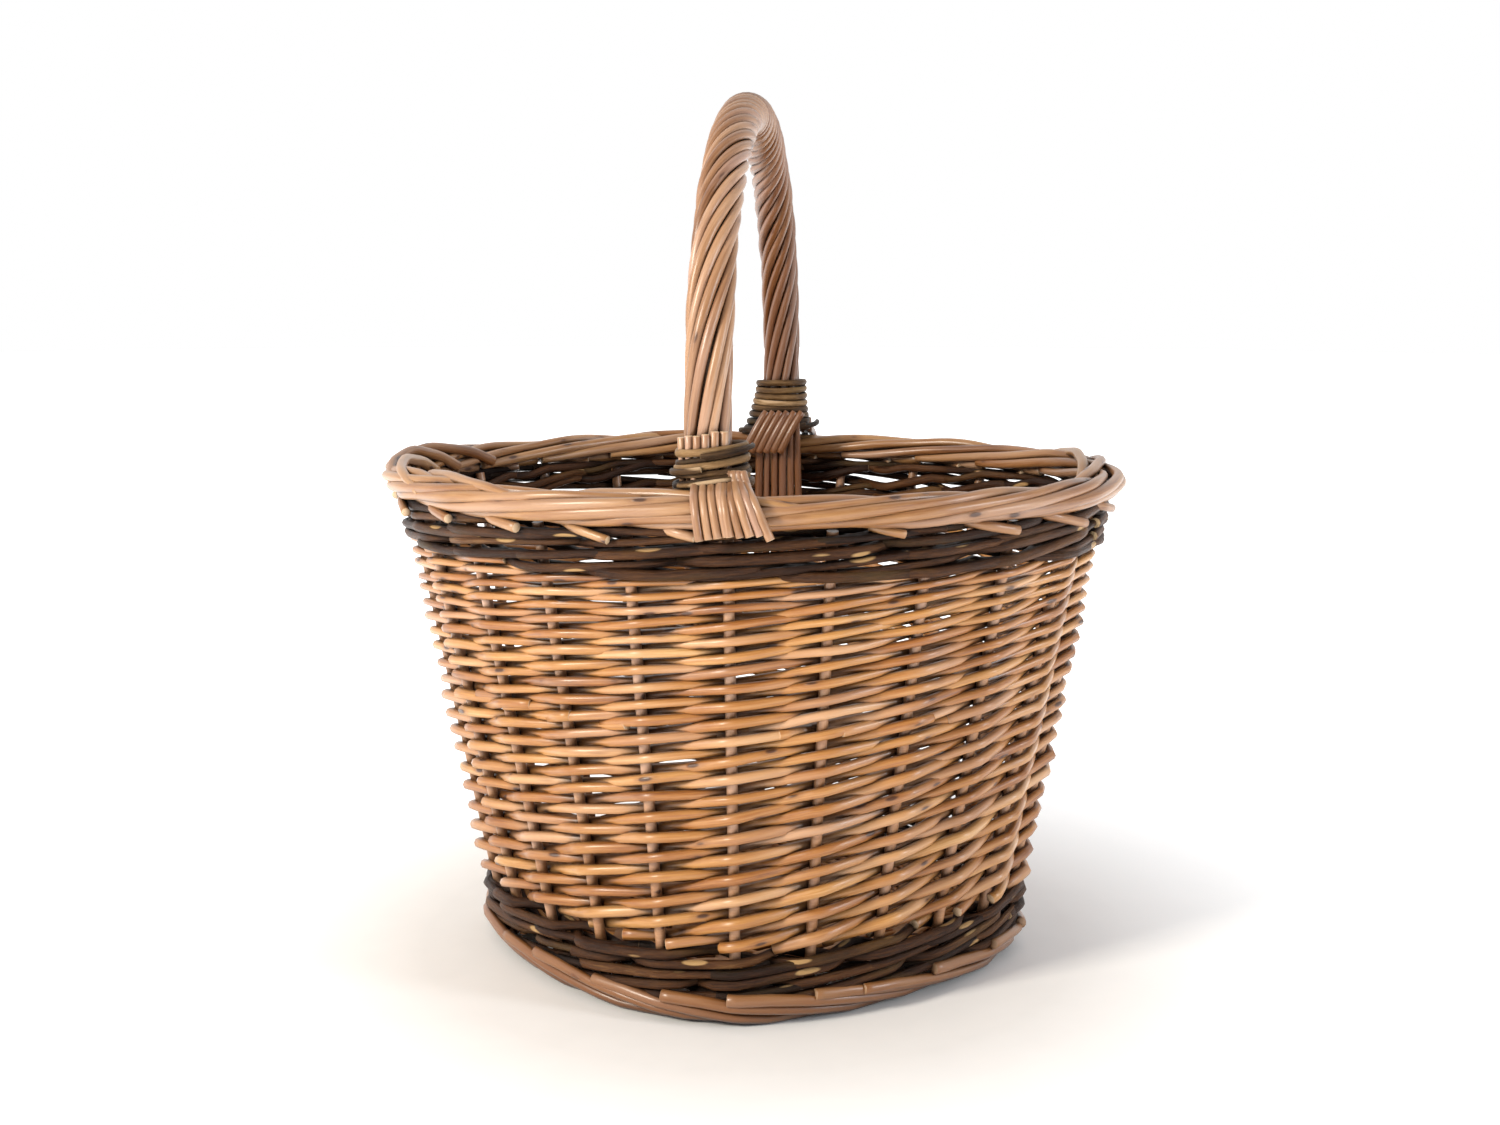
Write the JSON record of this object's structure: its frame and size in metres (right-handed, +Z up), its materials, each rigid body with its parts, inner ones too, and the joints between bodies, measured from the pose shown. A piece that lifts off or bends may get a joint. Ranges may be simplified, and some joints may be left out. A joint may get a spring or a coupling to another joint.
{
  "type": "woven market basket",
  "caption": "Oval woven willow shopping basket: flared wall on upright stakes, two dark wale bands, rope-like rim and a fixed wrapped bow handle across its width",
  "frame": {"origin": "on the ground, under the middle of the basket", "axes": "+Z up, +X along the length of the oval, +Y across it in the plane of the handle"},
  "size_m": [0.401, 0.3522, 0.458],
  "materials": {
    "siding_willow": "buff willow rods, satin, knotted",
    "bark_willow": "unpeeled brown willow bark, satin",
    "border_willow": "thick buff willow rods, satin",
    "stake_willow": "buff willow stakes, satin",
    "handle_willow": "buff willow wrapping rods, satin",
    "core_willow": "peeled willow, matt",
    "split_willow": "split willow with bark, satin"
  },
  "bodies": {
    "root": {"base_weave": "siding_willow", "foot_border": "border_willow", "lower_wale": "bark_willow", "siding_first_set": "siding_willow", "siding_second_set": "siding_willow", "upper_wale": "bark_willow", "rim_border": "border_willow", "base_long_stick_1": "core_willow", "base_long_stick_2": "core_willow", "base_long_stick_3": "core_willow", "base_cross_stick_1": "core_willow", "base_cross_stick_2": "core_willow", "base_cross_stick_3": "core_willow", "base_cross_stick_4": "core_willow", "base_cross_stick_5": "core_willow", "base_cross_stick_6": "core_willow", "base_cross_stick_7": "core_willow", "stake_1": "stake_willow", "stake_2": "stake_willow", "stake_3": "stake_willow", "stake_4": "stake_willow", "stake_5": "stake_willow", "stake_6": "stake_willow", "stake_7": "stake_willow", "stake_8": "stake_willow", "stake_9": "stake_willow", "stake_10": "stake_willow", "stake_11": "stake_willow", "stake_12": "stake_willow", "stake_13": "stake_willow", "stake_14": "stake_willow", "stake_15": "stake_willow", "stake_16": "stake_willow", "stake_17": "stake_willow", "stake_18": "stake_willow", "stake_19": "stake_willow", "stake_20": "stake_willow", "stake_21": "stake_willow", "stake_22": "stake_willow", "handle_bow": "core_willow", "handle_wrap_rod_1": "handle_willow", "handle_wrap_rod_2": "handle_willow", "handle_wrap_rod_3": "handle_willow", "handle_wrap_rod_4": "handle_willow", "handle_wrap_rod_5": "handle_willow", "handle_wrap_rod_6": "handle_willow", "handle_wrap_rod_7": "handle_willow", "handle_wrap_rod_8": "handle_willow", "handle_wrap_rod_9": "handle_willow", "handle_wrap_rod_10": "handle_willow", "handle_lashing_front": "split_willow", "handle_lashing_back": "split_willow", "rod_butts_front": "handle_willow", "rod_butts_back": "handle_willow", "rod_tips_front": "handle_willow", "rod_tips_back": "handle_willow"}
  },
  "joints": []
}
